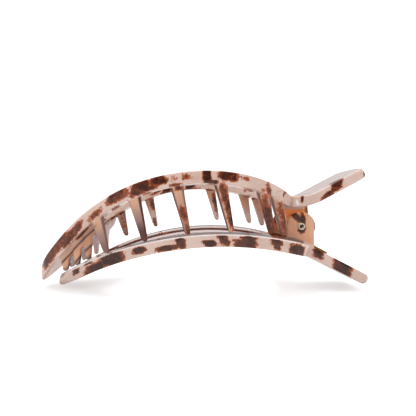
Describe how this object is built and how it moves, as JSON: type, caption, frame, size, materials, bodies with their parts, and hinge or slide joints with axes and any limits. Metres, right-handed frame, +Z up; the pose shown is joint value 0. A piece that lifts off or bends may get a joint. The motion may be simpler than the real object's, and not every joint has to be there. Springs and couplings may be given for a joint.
{
  "type": "claw hair clip",
  "caption": "Flat curved claw hair clip: an open toothed upper jaw over an open plain lower jaw, hinged at two squeeze handles by a hollow rivet, shut by a torsion spring.",
  "frame": {"origin": "bottom centre of the bounding box of the shut clip", "axes": "+X from the jaws' tip towards the squeeze handles, +Y along the hinge axis, +Z up from the lower jaw to the upper jaw"},
  "size_m": [0.121, 0.048, 0.0449],
  "materials": {
    "tortoise_plastic": "polished translucent cellulose acetate, blush with dark tortoise blotches",
    "rivet_metal": "bright plated, rolled rim",
    "spring_brass": "bright drawn wire"
  },
  "bodies": {
    "lower": {"lower_jaw": "tortoise_plastic", "hinge_pin": "rivet_metal", "torsion_spring": "spring_brass"},
    "upper": {"upper_jaw": "tortoise_plastic"}
  },
  "joints": [
    {"name": "jaw_hinge", "type": "hinge", "parent": "lower", "child": "upper", "pos_m": [0.03479, 0, 0.02334], "axis": [0, 1, 0], "range_deg": [0, 50], "stiffness_Nm_per_rad": 0.05, "springref_deg": -57.3, "deforming": ["torsion_spring"]}
  ]
}
